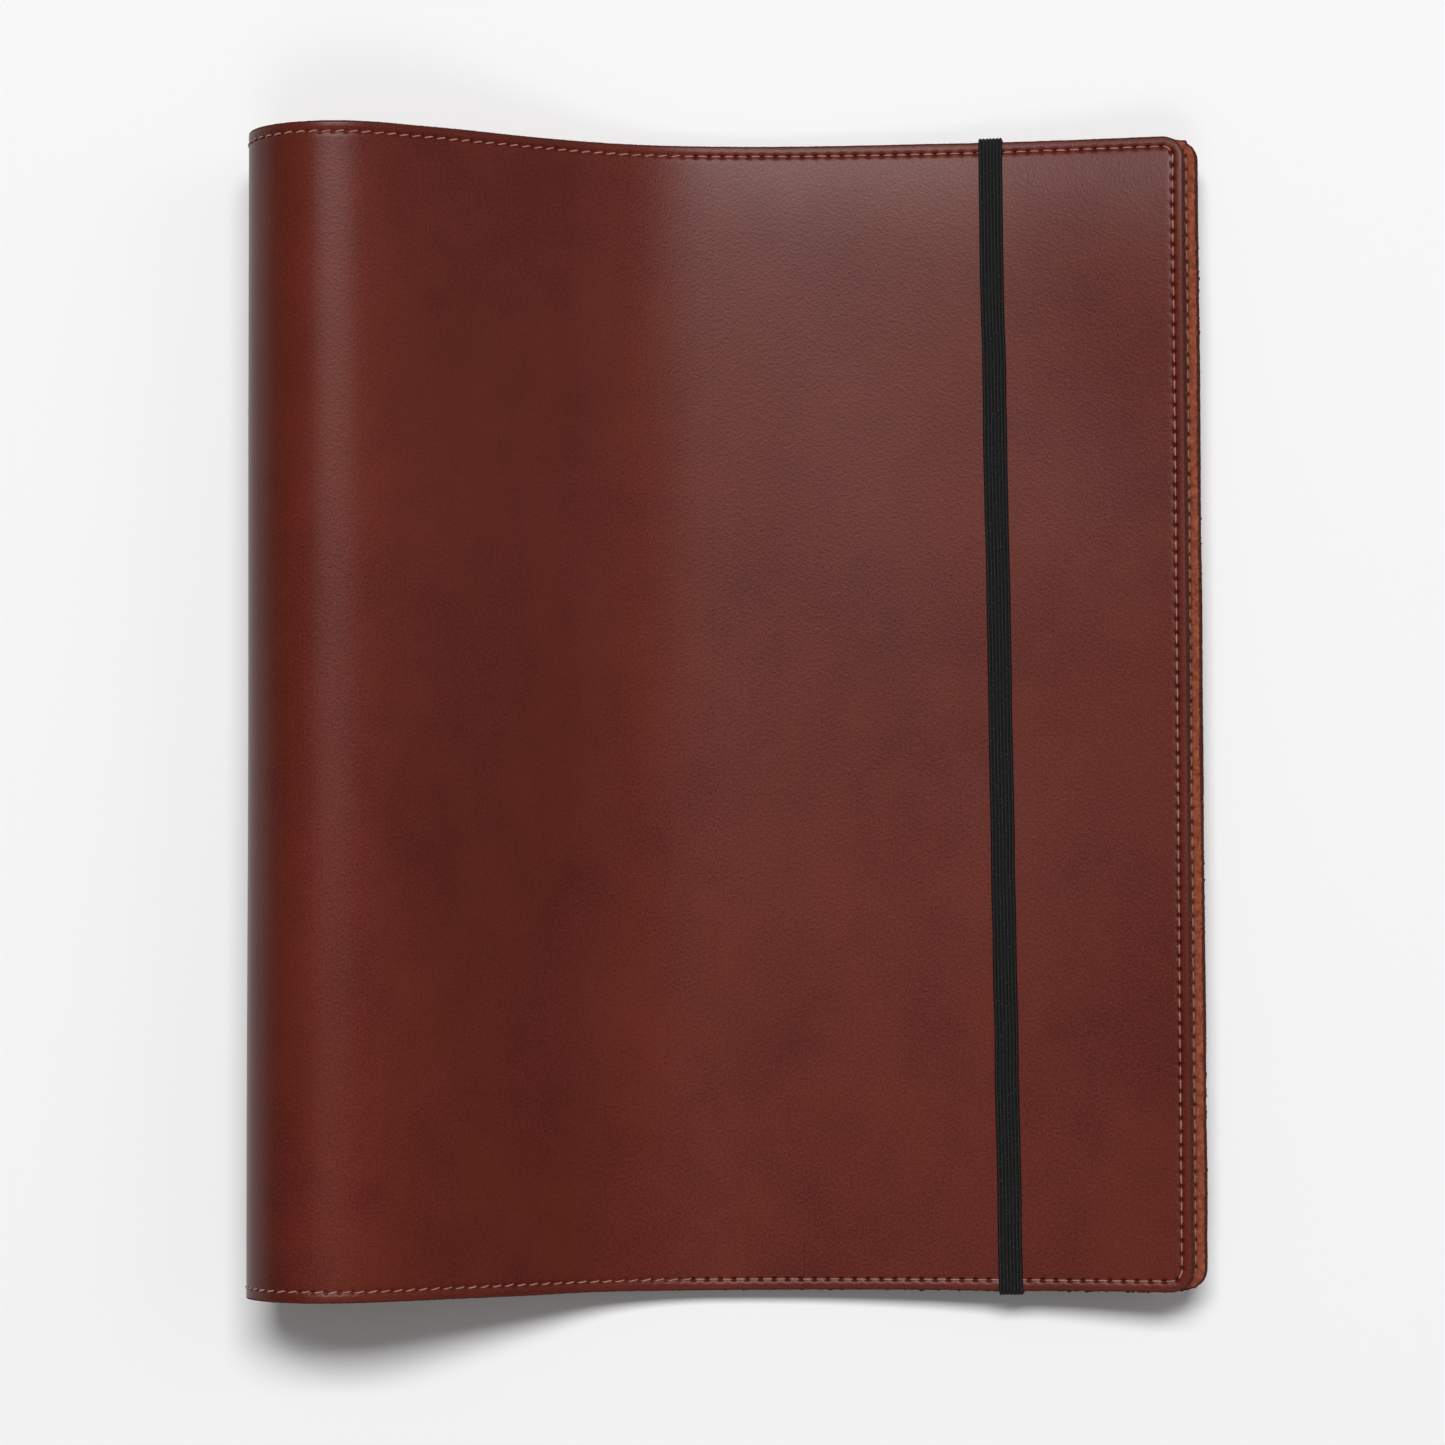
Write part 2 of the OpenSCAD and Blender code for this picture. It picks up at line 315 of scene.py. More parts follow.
# Depth of the stitch line: a soft trough along it, a pit at each needle hole, and the swell of
# the leather between the line and the edge.
def seamRelief(inset, a, deep, look):
    across = inset - seamIn
    along = (np.mod(a / pitch + 0.5, 1) - 0.5) * pitch
    trough = look["trough"] * np.exp(-(across / 0.7) ** 2)
    pit = np.exp(-(along / look["pitLength"]) ** 2 - (across / look["pitWidth"]) ** 2)
    swell = look["swell"] * np.exp(-((across + 1.5) / 0.8) ** 2)
    return trough + deep * pit - swell, pit


# Painted shade on the grain side, as angles on the spine's circle or places past the shoulder
# with the tone there: darkest on the spine's side, a little darker down the slope, a touch lighter on the
# spine's top.
paintedShade = {
    "spine": [(250, 0.96), (190, 0.64), (132, 0.72), (116, 0.86), (92, 1.04)],
    "front": [(marks[4], 1.0), (marks[4] + 20, 0.83), (marks[5], 0.83), (marks[5] + 8, 0.87),
              (marks[6] - 18, 0.94), (marks[6], 0.96)],
}


# The painted shade at a place along the line, joined linearly.
def paintedShadeAlong(s):
    points = [(spineAt(angle), tone) for angle, tone in paintedShade["spine"]] + paintedShade["front"]
    return np.interp(s, [at for at, _ in points], [tone for _, tone in points])


# A sheet of leather as a closed solid. Its two faces are grids inside a rim of fine columns, and
# the rim runs from one face over the rounded edge to the other.
def buildSheet(name, span, kind, top, thick, look, materials):
    u0, u1 = span
    inner1 = u1 - cover["corner"] if kind else u1
    cells = max(2, round((inner1 - u0) / look["cell"]))
    thin = 0.03
    if kind:
        gridU = np.concatenate([[u0], np.linspace(u0 + thin, inner1, cells + 1)])
    else:
        gridU = np.concatenate([[u0], np.linspace(u0 + thin, inner1 - thin, cells + 1), [inner1]])
    gridY = np.linspace(-innerY, innerY, 104)
    paths, node = rimPaths(gridU, gridY, kind)
    nu, ny = len(gridU) - 1, len(gridY) - 1
    uu, yy = np.meshgrid(gridU, gridY, indexing="ij")
    flatS, flatY, flatD, pits, edge = [], [], [], [], []

    def add(u, y, d, pit=0.0, rim=0.0):
        first = sum(len(v) for v in flatS)
        flatS.append(u if kind >= 0 else -u)
        flatY.append(y)
        flatD.append(d + 0 * u)
        pits.append(pit + 0 * u)
        edge.append(rim + 0 * u)
        return first

    faces, slots, flats = [], [], []

    def put(f, slot, flat=False):
        if len(f):
            faces.append(f)
            slots.append(slot)
            flats.append(flat)

    upper = add(uu.ravel(), yy.ravel(), top) + node
    lower = add(uu.ravel(), yy.ravel(), top + thick) + node
    corners = [upper[:-1, :-1], upper[1:, :-1], upper[1:, 1:], upper[:-1, 1:]]
    put(np.stack([v.ravel() for v in corners], 1), 0)
    corners = [lower[:-1, :-1], lower[:-1, 1:], lower[1:, 1:], lower[1:, :-1]]
    put(np.stack([v.ravel() for v in corners], 1), 2)
    put(np.stack([upper[0, :-1], upper[0, 1:], lower[0, 1:], lower[0, :-1]], 1), 1, True)
    if kind == 0:
        put(np.stack([upper[nu, 1:], upper[nu, :-1], lower[nu, :-1], lower[nu, 1:]], 1), 1, True)

    edgeRows = [(0.15, 0.04), (0.04, 0.15), (0.0, 0.36), (0.0, 0.5 * thick), (0.0, thick - 0.36),
                (0.06, thick - 0.14), (0.22, thick - 0.04)]
    for bu, by, du, dy, a, rank, own in paths:
        s = bu if kind >= 0 else -bu
        deep = np.where(layered(s) > 0, look["pitDeep"], look["pitShallow"])
        rough = look["ragged"] * (smoothNoise(a + 500, 0.7, look["seed"])
                                  + 0.6 * smoothNoise(a + 500, 0.37, look["seed"] + 1))
        swing = look["wander"] * smoothNoise(a + 500, 22, look["seed"] + 2)
        rows = ([(i, None, lv, 0) for i, lv in rimRows] + [(i, d, 3, 1) for i, d in edgeRows]
                + [(i, None, lv, 2) for i, lv in rimRows[::-1]])
        table = np.full((len(rows), len(bu)), -1)
        for r, (inset, depth, level, part) in enumerate(rows):
            here = rank <= level
            if level == 0:
                grid = upper if part == 0 else lower
                table[r, here] = grid.ravel()[own[here]]
                continue
            near = max(0.0, 1 - inset / 1.3)
            at = inset + (rough * near + swing * max(0.0, 1 - inset / 3.0)) * np.where(part == 1, 1, 0.9)
            relief, pit = seamRelief(inset, a, deep, look)
            if part == 0:
                d, drop = top + relief, 0.06 * max(0, 1 - inset / 0.9) ** 2
                d = d + drop
            elif part == 1:
                d = top + depth + 0.5 * rough * (1 if 0.3 < depth < thick - 0.3 else 0.3)
            else:
                fold = relief if look["bothSides"] else 0.4 * relief
                d = top + thick - fold - 0.05 * max(0, 1 - inset / 0.9) ** 2
            d = d + 0 * a
            # The pit mask, scaled by how deep the hole is, later paints shade into the needle holes.
            first = add((bu + du * at)[here], (by + dy * at)[here], d[here],
                        (pit * deep / look["pitDeep"])[here] if part != 1 else 0.0,
                        max(0.0, 1 - inset / 0.9))
            table[r, here] = first + np.arange(here.sum())
        for r in range(len(rows) - 1):
            l0, l1 = rows[r][2], rows[r + 1][2]
            slot = 0 if rows[r + 1][3] == 0 else (2 if rows[r][3] == 2 else 1)
            p, q = table[r], table[r + 1]
            cols = np.flatnonzero(rank <= min(l0, l1))
            i, j = cols[:-1], cols[1:]
            split = (j - i > 1) & (l0 != l1)
            m = (i + j) // 2
            whole = ~split
            quads = np.stack([p[i], p[j], q[j], q[i]], 1)[whole]
            if l0 < l1:
                pents = np.stack([p[i], p[j], q[j], q[m], q[i]], 1)[split]
                same = pents[:, 0] == pents[:, 1]
                put(pents[~same], slot)
                put(pents[same][:, 1:], slot)
            elif l0 > l1:
                pents = np.stack([p[m], p[j], q[j], q[i], p[i]], 1)[split]
                same = pents[:, 2] == pents[:, 3]
                put(pents[~same], slot)
                put(pents[same][:, [0, 1, 2, 4]], slot)
            put(quads, slot)
        g = len(rimRows)
        for col, flip in ((0, False), (len(bu) - 1, True)):
            rim = table[:, col]
            a0, a1 = rim[:g - 1], rim[1:g]
            b0, b1 = rim[::-1][:g - 1], rim[::-1][1:g]
            cap = np.stack([a0, a1, b1, b0], 1)
            last = rim[g - 1:len(rows) - g + 1][None]
            put(cap[:, ::-1] if flip else cap, 1, True)
            put(last[:, ::-1] if flip else last, 1, True)
    s, y, d = np.concatenate(flatS), np.concatenate(flatY), np.concatenate(flatD)
    # The tone attribute carries the painted shade of the spine's side and the slope.
    extra = {"flat": np.stack([s, y, d], 1) * mm, "pit": np.concatenate(pits), "rim": np.concatenate(edge),
             "tone": paintedShadeAlong(s)}
    return makeMesh(name, place(s, y, d), faces, slots, flats, extra, materials)


# node helpers

def newMaterial(name):
    m = bpy.data.materials.new(name)
    m.use_nodes = True
    tree = m.node_tree
    tree.nodes.clear()
    out = tree.nodes.new("ShaderNodeOutputMaterial")
    shader = tree.nodes.new("ShaderNodeBsdfPrincipled")
    tree.links.new(shader.outputs["BSDF"], out.inputs["Surface"])
    return m, tree, shader


def newGroup(name, ins, outs):
    tree = bpy.data.node_groups.new(name, "ShaderNodeTree")
    for n, kind in ins:
        tree.interface.new_socket(n, in_out="INPUT", socket_type=kind)
    for n, kind in outs:
        tree.interface.new_socket(n, in_out="OUTPUT", socket_type=kind)
    return tree, tree.nodes.new("NodeGroupInput"), tree.nodes.new("NodeGroupOutput")


def useGroup(tree, group, links):
    node = tree.nodes.new("ShaderNodeGroup")
    node.node_tree = group
    for key, source in links.items():
        if hasattr(source, "is_output"):
            tree.links.new(source, node.inputs[key])
        else:
            node.inputs[key].default_value = source
    return node


def setInput(tree, socket, value):
    if value is None:
        return
    if hasattr(value, "is_output"):
        tree.links.new(value, socket)
    else:
        socket.default_value = value


def noise(tree, vector, scale, detail=2.0, rough=0.5, distortion=0.0):
    n = tree.nodes.new("ShaderNodeTexNoise")
    tree.links.new(vector, n.inputs["Vector"])
    n.inputs["Scale"].default_value = scale
    n.inputs["Detail"].default_value = detail
    n.inputs["Roughness"].default_value = rough
    n.inputs["Distortion"].default_value = distortion
    return n.outputs["Fac"]


def voronoi(tree, vector, scale):
    n = tree.nodes.new("ShaderNodeTexVoronoi")
    n.feature = "SMOOTH_F1"
    tree.links.new(vector, n.inputs["Vector"])
    n.inputs["Scale"].default_value = scale
    return n.outputs["Distance"]


def maths(tree, operation, a, b=None, c=None, clamp=False):
    n = tree.nodes.new("ShaderNodeMath")
    n.operation = operation
    n.use_clamp = clamp
    for socket, value in zip(n.inputs, (a, b, c)):
        setInput(tree, socket, value)
    return n.outputs[0]


def remap(tree, value, a, b, c, d):
    n = tree.nodes.new("ShaderNodeMapRange")
    tree.links.new(value, n.inputs["Value"])
    for key, v in zip(("From Min", "From Max", "To Min", "To Max"), (a, b, c, d)):
        n.inputs[key].default_value = v
    return n.outputs["Result"]


def mixColor(tree, fac, a, b, mode="MIX"):
    n = tree.nodes.new("ShaderNodeMix")
    n.data_type = "RGBA"
    n.blend_type = mode
    setInput(tree, n.inputs[0], fac)
    for socket, value in ((n.inputs[6], a), (n.inputs[7], b)):
        setInput(tree, socket, value if hasattr(value, "is_output") else (*value, 1.0))
    return n.outputs[2]


def attribute(tree, name):
    n = tree.nodes.new("ShaderNodeAttribute")
    n.attribute_name = name
    return n


def stretch(tree, vector, factors):
    n = tree.nodes.new("ShaderNodeVectorMath")
    n.operation = "MULTIPLY"
    tree.links.new(vector, n.inputs[0])
    n.inputs[1].default_value = factors
    return n.outputs[0]


def bump(tree, height, distance):
    n = tree.nodes.new("ShaderNodeBump")
    n.inputs["Strength"].default_value = 1.0
    n.inputs["Distance"].default_value = distance
    tree.links.new(height, n.inputs["Height"])
    return n.outputs["Normal"]


# shared effects

# The grain of smooth leather: pores and a fine pebble for height, clouds of tone, and warmer patches.
def grainGroup():
    tree, gi, go = newGroup("grainField", [("Place", "NodeSocketVector")],
                            [("Height", "NodeSocketFloat"), ("Cloud", "NodeSocketFloat"),
                             ("Speckle", "NodeSocketFloat"), ("Warmth", "NodeSocketFloat")])
    p = gi.outputs["Place"]
    pebble = voronoi(tree, p, 1500.0)
    fine = noise(tree, p, 2600.0, 3.0, 0.6)
    crease = noise(tree, stretch(tree, p, (1.0, 0.6, 1.0)), 420.0, 4.0, 0.62, 0.4)
    height = maths(tree, "ADD", maths(tree, "MULTIPLY", pebble, 0.7), maths(tree, "MULTIPLY", fine, 0.4))
    height = maths(tree, "ADD", height, maths(tree, "MULTIPLY", crease, 0.12))
    tree.links.new(height, go.inputs["Height"])
    cloud = maths(tree, "ADD", maths(tree, "MULTIPLY", noise(tree, p, 14.0, 3.0, 0.55), 0.65),
                  maths(tree, "MULTIPLY", noise(tree, p, 75.0, 3.0, 0.6), 0.35))
    tree.links.new(cloud, go.inputs["Cloud"])
    tree.links.new(noise(tree, p, 1500.0, 3.0, 0.8), go.inputs["Speckle"])
    patch = noise(tree, stretch(tree, p, (1.0, 0.6, 1.0)), 30.0, 4.0, 0.6, 0.3)
    tree.links.new(remap(tree, patch, 0.42, 0.62, 0.0, 1.0), go.inputs["Warmth"])
    return tree


# The nap of a flesh side: short tangled fibres for height and tone.
def fibreGroup():
    tree, gi, go = newGroup("fibreField", [("Place", "NodeSocketVector")],
                            [("Height", "NodeSocketFloat"), ("Tone", "NodeSocketFloat"),
                             ("Cloud", "NodeSocketFloat")])
    p = gi.outputs["Place"]
    longWays = noise(tree, stretch(tree, p, (1.0, 0.35, 1.0)), 1500.0, 4.0, 0.7, 1.2)
    crossWays = noise(tree, stretch(tree, p, (0.4, 1.0, 1.0)), 1100.0, 4.0, 0.7, 1.5)
    both = maths(tree, "MULTIPLY", maths(tree, "ADD", longWays, crossWays), 0.5)
    tree.links.new(both, go.inputs["Height"])
    tuft = noise(tree, p, 620.0, 3.0, 0.7, 0.6)
    nap = maths(tree, "ADD", maths(tree, "MULTIPLY", both, 0.4), maths(tree, "MULTIPLY", tuft, 0.6))
    tree.links.new(remap(tree, nap, 0.40, 0.62, 0.0, 1.0), go.inputs["Tone"])
    tree.links.new(noise(tree, p, 60.0, 3.0, 0.6), go.inputs["Cloud"])
    return tree


grainField = grainGroup()
fibreField = fibreGroup()

# materials

# The pit colour and its share paint shade into the needle holes.
grainLook = {
    "deep": (0.080, 0.0100, 0.0058), "light": (0.142, 0.0222, 0.0146), "pit": (0.030, 0.0050, 0.0038),
    "rim": (0.100, 0.020, 0.0145), "roughness": (0.27, 0.42), "ior": 1.23, "gloss": 0.60, "bump": 0.00004,
    "warm": (0.138, 0.0235, 0.0095), "warmth": 0.4, "cloud": 0.6, "speckle": 3.2, "base": 0.2,
    "rimShare": 0.6, "pitShadeShare": 0.95,
}


def grainMaterial(look):
    m, tree, shader = newMaterial("grainLeather")
    spot = attribute(tree, "flat").outputs["Vector"]
    field = useGroup(tree, grainField, {"Place": spot})
    tone = remap(tree, field.outputs["Cloud"], 0.34, 0.66, 0.0, 1.0)
    speck = maths(tree, "MULTIPLY", maths(tree, "SUBTRACT", field.outputs["Speckle"], 0.5), look["speckle"])
    tone = maths(tree, "ADD", maths(tree, "MULTIPLY", tone, look["cloud"]),
                 maths(tree, "ADD", speck, look["base"]), clamp=True)
    color = mixColor(tree, tone, look["deep"], look["light"])
    warmth = maths(tree, "MULTIPLY", field.outputs["Warmth"], look["warmth"])
    color = mixColor(tree, warmth, color, look["warm"])
    rim = maths(tree, "MULTIPLY", attribute(tree, "rim").outputs["Fac"], look["rimShare"])
    color = mixColor(tree, rim, color, look["rim"])
    # Painted shade in the needle holes: the pit mask darkens them towards the pit colour.
    pit = maths(tree, "MULTIPLY", attribute(tree, "pit").outputs["Fac"], look["pitShadeShare"], clamp=True)
    color = mixColor(tree, pit, color, look["pit"])
    # Painted shade: the colour is multiplied by the tone attribute, darker on the spine's side and down the
    # slope.
    color = mixColor(tree, 1.0, color, attribute(tree, "tone").outputs["Color"], "MULTIPLY")
    tree.links.new(color, shader.inputs["Base Color"])
    rough = remap(tree, field.outputs["Speckle"], 0.3, 0.7, *look["roughness"])
    tree.links.new(rough, shader.inputs["Roughness"])
    tree.links.new(bump(tree, field.outputs["Height"], look["bump"]), shader.inputs["Normal"])
    shader.inputs["IOR"].default_value = look["ior"]
    shader.inputs["Specular IOR Level"].default_value = look["gloss"]
    return m


# The pit colour and its share paint shade into the needle holes of the flesh side.
suedeLook = {
    "deep": (0.118, 0.0265, 0.0135), "light": (0.400, 0.104, 0.053), "pit": (0.020, 0.005, 0.004),
    "pitShadeShare": 0.9, "nap": 0.75, "cloud": 0.25, "roughness": 0.95, "gloss": 0.15, "bump": 0.00025,
    "sheen": 0.15, "sheenRoughness": 0.5, "sheenTint": (0.9, 0.5, 0.38, 1),
}


def suedeMaterial(look):
    m, tree, shader = newMaterial("fleshLeather")
    spot = attribute(tree, "flat").outputs["Vector"]
    field = useGroup(tree, fibreField, {"Place": spot})
    tone = maths(tree, "ADD", maths(tree, "MULTIPLY", field.outputs["Tone"], look["nap"]),
                 maths(tree, "MULTIPLY", field.outputs["Cloud"], look["cloud"]), clamp=True)
    color = mixColor(tree, tone, look["deep"], look["light"])
    # Painted shade in the needle holes, as on the grain side.
    pit = maths(tree, "MULTIPLY", attribute(tree, "pit").outputs["Fac"], look["pitShadeShare"], clamp=True)
    color = mixColor(tree, pit, color, look["pit"])
    tree.links.new(color, shader.inputs["Base Color"])
    shader.inputs["Roughness"].default_value = look["roughness"]
    shader.inputs["Specular IOR Level"].default_value = look["gloss"]
    shader.inputs["Sheen Weight"].default_value = look["sheen"]
    shader.inputs["Sheen Roughness"].default_value = look["sheenRoughness"]
    shader.inputs["Sheen Tint"].default_value = look["sheenTint"]
    tree.links.new(bump(tree, field.outputs["Height"], look["bump"]), shader.inputs["Normal"])
    return m


edgeLook = {
    "deep": (0.046, 0.0120, 0.0080), "light": (0.115, 0.0310, 0.0200), "bump": 0.00018,
    "roughness": 0.9, "gloss": 0.1,
}


def edgeMaterial(look):
    m, tree, shader = newMaterial("cutEdge")
    spot = attribute(tree, "flat").outputs["Vector"]
    fibre = noise(tree, stretch(tree, spot, (1.0, 1.0, 2.5)), 1700.0, 4.0, 0.7, 0.6)
    color = mixColor(tree, remap(tree, fibre, 0.35, 0.68, 0.0, 1.0), look["deep"], look["light"])
    tree.links.new(color, shader.inputs["Base Color"])
    shader.inputs["Roughness"].default_value = look["roughness"]
    shader.inputs["Specular IOR Level"].default_value = look["gloss"]
    tree.links.new(bump(tree, fibre, look["bump"]), shader.inputs["Normal"])
    return m


grainLeather = grainMaterial(grainLook)
fleshLeather = suedeMaterial(suedeLook)
cutEdge = edgeMaterial(edgeLook)
print("stage: leather materials")

# the shell

shellLook = {
    "cell": 2.88, "trough": 0.15, "pitDeep": 0.70, "pitShallow": 0.34, "pitLength": 0.62, "pitWidth": 0.48,
    "swell": 0.05, "ragged": 0.035, "wander": 0.12, "seed": 11, "bothSides": False,
}
curvedLook = dict(shellLook, cell=1.5)

shoulderEnd = float(marks[4])
slopeEnd = float(marks[5])
valleyEnd = float(marks[6])
# Each zone: its name, where it runs, its bodies, the depth at which a bend is measured, and the CAD
# stretch that it stands for.
zones = [
    ("SpineLow", spineStart, spineAt(216), ("back_cover", "spine_low"), 2.4, "spine_low", curvedLook),
    ("SpineMid", spineAt(216), spineAt(158), ("spine_low", "spine_mid"), 2.4, "spine_mid", curvedLook),
    ("SpineHigh", spineAt(158), spineAt(100.2), ("spine_mid", "spine_high"), 2.4, "spine_high", curvedLook),
    ("Shoulder", spineAt(100.2), shoulderEnd, ("spine_high", "front_slope"), 2.4, None, curvedLook),
    ("Slope", shoulderEnd, slopeEnd, ("front_slope",), 0, "slope", shellLook),
    ("Valley", slopeEnd, valleyEnd, ("front_slope", "front_cover"), -0.6, None, curvedLook),
]


# obj rides on its zone's body when the zone lies on one; on two bodies its placement is baked into its mesh.
# The CAD part that it stands for is hidden.
def carry(obj, zone, prefix):
    name, s0, s1, bodies, depth, node, look = zone
    if len(bodies) == 1:
        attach(obj, bodies[0])
    else:
        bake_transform(obj)
    if node:
        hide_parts(prefix + node)


sheetSlots = (grainLeather, cutEdge, fleshLeather)
leatherBack = buildSheet("leatherBack", (-spineStart, 0.0), -1, 0.0, cover["shell"], shellLook, sheetSlots)
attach(leatherBack, "back_cover")
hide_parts("shell_back")
for zone in zones:
    piece = buildSheet("leather" + zone[0], zone[1:3], 0, 0.0, cover["shell"], zone[6], sheetSlots)
    carry(piece, zone, "shell_")
leatherFront = buildSheet("leatherFront", (valleyEnd, lineEnd), 1, 0.0, cover["shell"], shellLook, sheetSlots)
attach(leatherFront, "front_cover")
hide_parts("shell_front")
print("stage: shell")

# the pockets

pocketLook = {
    "cell": 2.88, "trough": 0.12, "pitDeep": 0.50, "pitShallow": 0.50, "pitLength": 0.58, "pitWidth": 0.46,
    "swell": 0.03, "ragged": 0.30, "wander": 0.16, "seed": 31, "bothSides": True,
}
pocketTop = cover["shell"] + cover["gap"]
pocketBack = buildSheet("pocketBack", (-backMouth, 0.0), -1, pocketTop, cover["pocket"], pocketLook,
                        sheetSlots)
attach(pocketBack, "back_cover")
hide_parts("pocket_back")
pocketFront = buildSheet("pocketFront", (frontMouth, lineEnd), 1, pocketTop, cover["pocket"],
                         dict(pocketLook, seed=41), sheetSlots)
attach(pocketFront, "front_cover")
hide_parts("pocket_front")
print("stage: pockets")

# the sewing thread

threadLook = {
    "radius": 0.21, "sides": 6, "rings": 8, "rise": 0.06, "dive": 0.50, "reach": 0.20,
    "lean": 0.17, "leanInside": -0.12, "sway": 0.035, "stray": 0.05, "uneven": 0.12, "insideSeed": 900,
    "color": (0.62, 0.290, 0.225), "dark": (0.34, 0.130, 0.095), "roughness": 0.55, "bump": 0.00008,
}


def threadMaterial(look):
    m, tree, shader = newMaterial("sewingThread")
    twist = attribute(tree, "twist").outputs["Vector"]
    split = tree.nodes.new("ShaderNodeSeparateXYZ")
    tree.links.new(twist, split.inputs[0])
    lean = maths(tree, "ADD", maths(tree, "MULTIPLY", split.outputs["X"], 9.0),
                 maths(tree, "MULTIPLY", split.outputs["Y"], 3.0))
    strand = maths(tree, "ABSOLUTE", maths(tree, "SINE", maths(tree, "MULTIPLY", lean, math.pi)))
    color = mixColor(tree, remap(tree, strand, 0.0, 0.8, 0.0, 1.0), look["dark"], look["color"])
    shade = noise(tree, twist, 0.9, 2.0)
    color = mixColor(tree, remap(tree, shade, 0.35, 0.65, 0.0, 0.35), color, look["dark"])
    tree.links.new(color, shader.inputs["Base Color"])
    shader.inputs["Roughness"].default_value = look["roughness"]
    tree.links.new(bump(tree, strand, look["bump"]), shader.inputs["Normal"])
    return m


sewingThread = threadMaterial(threadLook)


# Every stitch with its middle between low and high along the line, as a closed tube. Its line
# goes from hole to hole and dives at both ends, and its section is a ring that closes to a point
# there.
def buildStitches(low, high, inside, look):
    count = np.arange(stitchCount)
    middle, _, _ = seamPoint((count + 0.5) * pitch)
    own = count[(middle >= low) & (middle < high)]
    rings, sides = look["rings"], look["sides"]
    t = np.linspace(0, 1, rings)
    seed = own[0] + (look["insideSeed"] if inside else 0)
    local = np.random.default_rng(seed).uniform(-1, 1, (len(own), 5))
    a = (own[:, None] + look["reach"] / 2 + t[None] * (1 - look["reach"])) * pitch
    s, y, heading = seamPoint(a)
    double = layered(middle[own])[:, None]
    lean = (1 - double) * look["leanInside" if inside else "lean"] + look["sway"] * local[:, :1]
    side = (t[None] - 0.5) * 2 * lean * 1.6 + look["stray"] * local[:, 1:2]
    arch = np.clip(np.sin(math.pi * t), 0, 1)[None] ** 0.6
    rise = look["rise"] + 0.05 * (1 - double) + look["stray"] * local[:, 2:3]
    skew = 1 + (1 - double) * 0.5 * (t[None] - 0.5)
    lift = -look["dive"] + (look["dive"] + rise) * arch * skew
    s = s - np.sin(heading) * side
    y = y + np.cos(heading) * side
    taper = np.clip(4.5 * np.minimum(t, 1 - t), 0.0, 1)[None] ** 0.5
    girth = np.maximum(look["radius"] * (1 + look["uneven"] * local[:, 3:4]) * taper, 0.01)
    turn = np.arange(sides) / sides * 2 * math.pi
    out = lift[..., None] + girth[..., None] * np.sin(turn) * 0.85
    across = girth[..., None] * np.cos(turn)
    s3 = s[..., None] - np.sin(heading)[..., None] * across
    y3 = y[..., None] + np.cos(heading)[..., None] * across
    if inside:
        stack = np.where(layered(s3) > 0, cover["shell"] + cover["gap"] + cover["pocket"], cover["shell"])
        depth = stack + out
    else:
        depth = -out
    points = place(s3.ravel(), y3.ravel(), depth.ravel())
    index = np.arange(len(own) * rings * sides).reshape(len(own), rings, sides)
    nxt = np.roll(index, -1, axis=2)
    quads = np.stack([index[:, :-1], nxt[:, :-1], nxt[:, 1:], index[:, 1:]], -1).reshape(-1, 4)
    ends = [index[:, 0, ::-1], index[:, -1, :]]
    along = (a[..., None] + 0 * across) / 1.8
    twist = np.stack([along.ravel(), np.broadcast_to(turn / (2 * math.pi), across.shape).ravel(),
                      np.broadcast_to(own[:, None, None] * 3.7, across.shape).ravel()], 1)
    return points, quads, ends, twist


def threadPiece(name, low, high, look):
    parts = [buildStitches(low, high, inside, look) for inside in (False, True)]
    offset = len(parts[0][0])
    points = np.concatenate([p[0] for p in parts])
    quads = np.concatenate([parts[0][1], parts[1][1][:, ::-1] + offset])
    caps = np.concatenate([*parts[0][2], *[c[:, ::-1] + offset for c in parts[1][2]]])
    twist = np.concatenate([p[3] for p in parts])
    return makeMesh(name, points, [quads, caps], [0, 0], [False, False], {"twist": twist}, (sewingThread,))


threadBack = threadPiece("threadBack", -1, spineStart, threadLook)
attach(threadBack, "back_cover")
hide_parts("thread_back")
for zone in zones:
    piece = threadPiece("thread" + zone[0], zone[1], zone[2], threadLook)
    carry(piece, zone, "thread_")
threadFront = threadPiece("threadFront", valleyEnd, lineEnd + 1, threadLook)
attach(threadFront, "front_cover")
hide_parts("thread_front")
print("stage: thread")

# the elastic band

# color is the band's black with painted shade in its grooves; light is a painted highlight on the cord and
# pick tops.
bandLook = {
    "width": 6.4, "thick": 0.9, "at": 73.4, "lean": math.radians(0.68), "tuck": 8.0, "tuckThick": 0.6,
    "air": 0.1, "tuckAir": 0.2, "sideAir": 0.3, "bend": 0.55, "ribs": 7, "ribDepth": 0.32,
    "narrowing": 0.012, "wobble": 0.10, "pickLength": 0.62, "roughness": 0.7, "gloss": 0.2, "bump": 0.00012,
    "color": (0.0020, 0.0021, 0.0024), "light": (0.0135, 0.0140, 0.0150), "fleck": (0.16, 0.15, 0.14),
}


